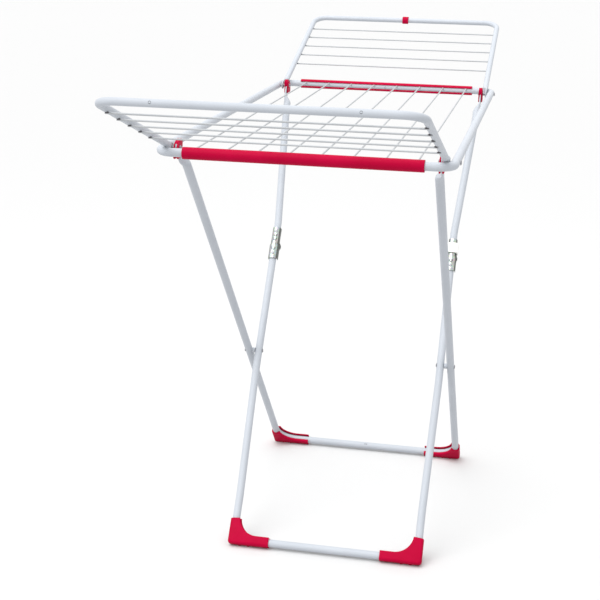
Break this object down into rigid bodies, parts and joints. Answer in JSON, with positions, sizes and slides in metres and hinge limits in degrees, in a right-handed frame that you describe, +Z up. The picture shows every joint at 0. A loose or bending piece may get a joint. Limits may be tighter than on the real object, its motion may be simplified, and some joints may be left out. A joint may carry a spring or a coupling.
{
  "type": "folding clothes airer",
  "caption": "Folding wing clothes airer: white tube frame with line wires, two fold-over wings, crossed hinged legs and red plastic sleeves and feet.",
  "frame": {"origin": "on the floor under the centre of the top frame", "axes": "+X across the rack, +Y along the rack towards the far wing, +Z up"},
  "size_m": [0.5542, 1.7779, 1.092],
  "materials": {
    "white_paint": "satin",
    "red_plastic": "satin",
    "zinc": "satin",
    "rivet_steel": "satin",
    "ivory_plastic": "satin"
  },
  "bodies": {
    "main_frame": {"main_frame_tube": "white_paint", "main_wires": "white_paint", "near_sleeve": "red_plastic", "far_sleeve": "red_plastic", "corner_rivets": "rivet_steel"},
    "near_wing": {"near_wing_tube": "white_paint", "near_wing_wires": "white_paint"},
    "far_wing": {"far_wing_tube": "white_paint", "far_wing_wires": "white_paint", "wing_clip": "red_plastic"},
    "near_legs": {"near_leg_tube": "white_paint", "near_leg_cap_right": "red_plastic", "near_leg_cap_left": "red_plastic", "crossing_rivets": "rivet_steel", "crossing_spacers": "white_paint", "near_leg_foot_right": "red_plastic", "near_leg_foot_left": "red_plastic"},
    "far_leg_upper": {"far_leg_upper_right": "white_paint", "far_leg_upper_left": "white_paint", "far_leg_cap_right": "red_plastic", "far_leg_cap_left": "red_plastic", "hinge_upper_right": "zinc", "hinge_upper_left": "zinc", "upper_hinge_rivets": "rivet_steel"},
    "far_leg_lower": {"far_leg_lower_tube": "white_paint", "hinge_lower_right": "zinc", "hinge_lower_left": "zinc", "hinge_pins": "zinc", "lower_hinge_rivets": "rivet_steel", "crossing_inner_rivets": "rivet_steel", "far_leg_foot_right": "red_plastic", "far_leg_foot_left": "red_plastic"},
    "lock_ring": {"lock_ring": "ivory_plastic"}
  },
  "joints": [
    {"name": "near_leg_fold", "type": "hinge", "parent": "main_frame", "child": "near_legs", "pos_m": [0, -0.474, 0.94], "axis": [1, 0, 0], "range_deg": [0, 41.28]},
    {"name": "far_leg_fold", "type": "hinge", "parent": "main_frame", "child": "far_leg_upper", "pos_m": [0, 0.474, 0.94], "axis": [-1, 0, 0], "range_deg": [0, 51.78]},
    {"name": "elbow_fold", "type": "hinge", "parent": "far_leg_upper", "child": "far_leg_lower", "pos_m": [0, 0.22531, 0.58199], "axis": [1, 0, 0], "range_deg": [0, 169.57]},
    {"name": "near_wing_fold", "type": "hinge", "parent": "main_frame", "child": "near_wing", "pos_m": [0, -0.474, 0.94], "axis": [-1, 0, 0], "range_deg": [0, 159]},
    {"name": "far_wing_fold", "type": "hinge", "parent": "main_frame", "child": "far_wing", "pos_m": [0, 0.474, 0.94], "axis": [1, 0, 0], "range_deg": [0, 159]},
    {"name": "lock_slide", "type": "slide", "parent": "far_leg_upper", "child": "lock_ring", "axis": [0, 0.5892, 0.808], "range_m": [0, 0.04]}
  ],
  "couplings": [
    {"joint": "far_leg_fold", "follows": "near_leg_fold", "ratio": 1.2541},
    {"joint": "elbow_fold", "follows": "near_leg_fold", "ratio": 4.1071}
  ]
}
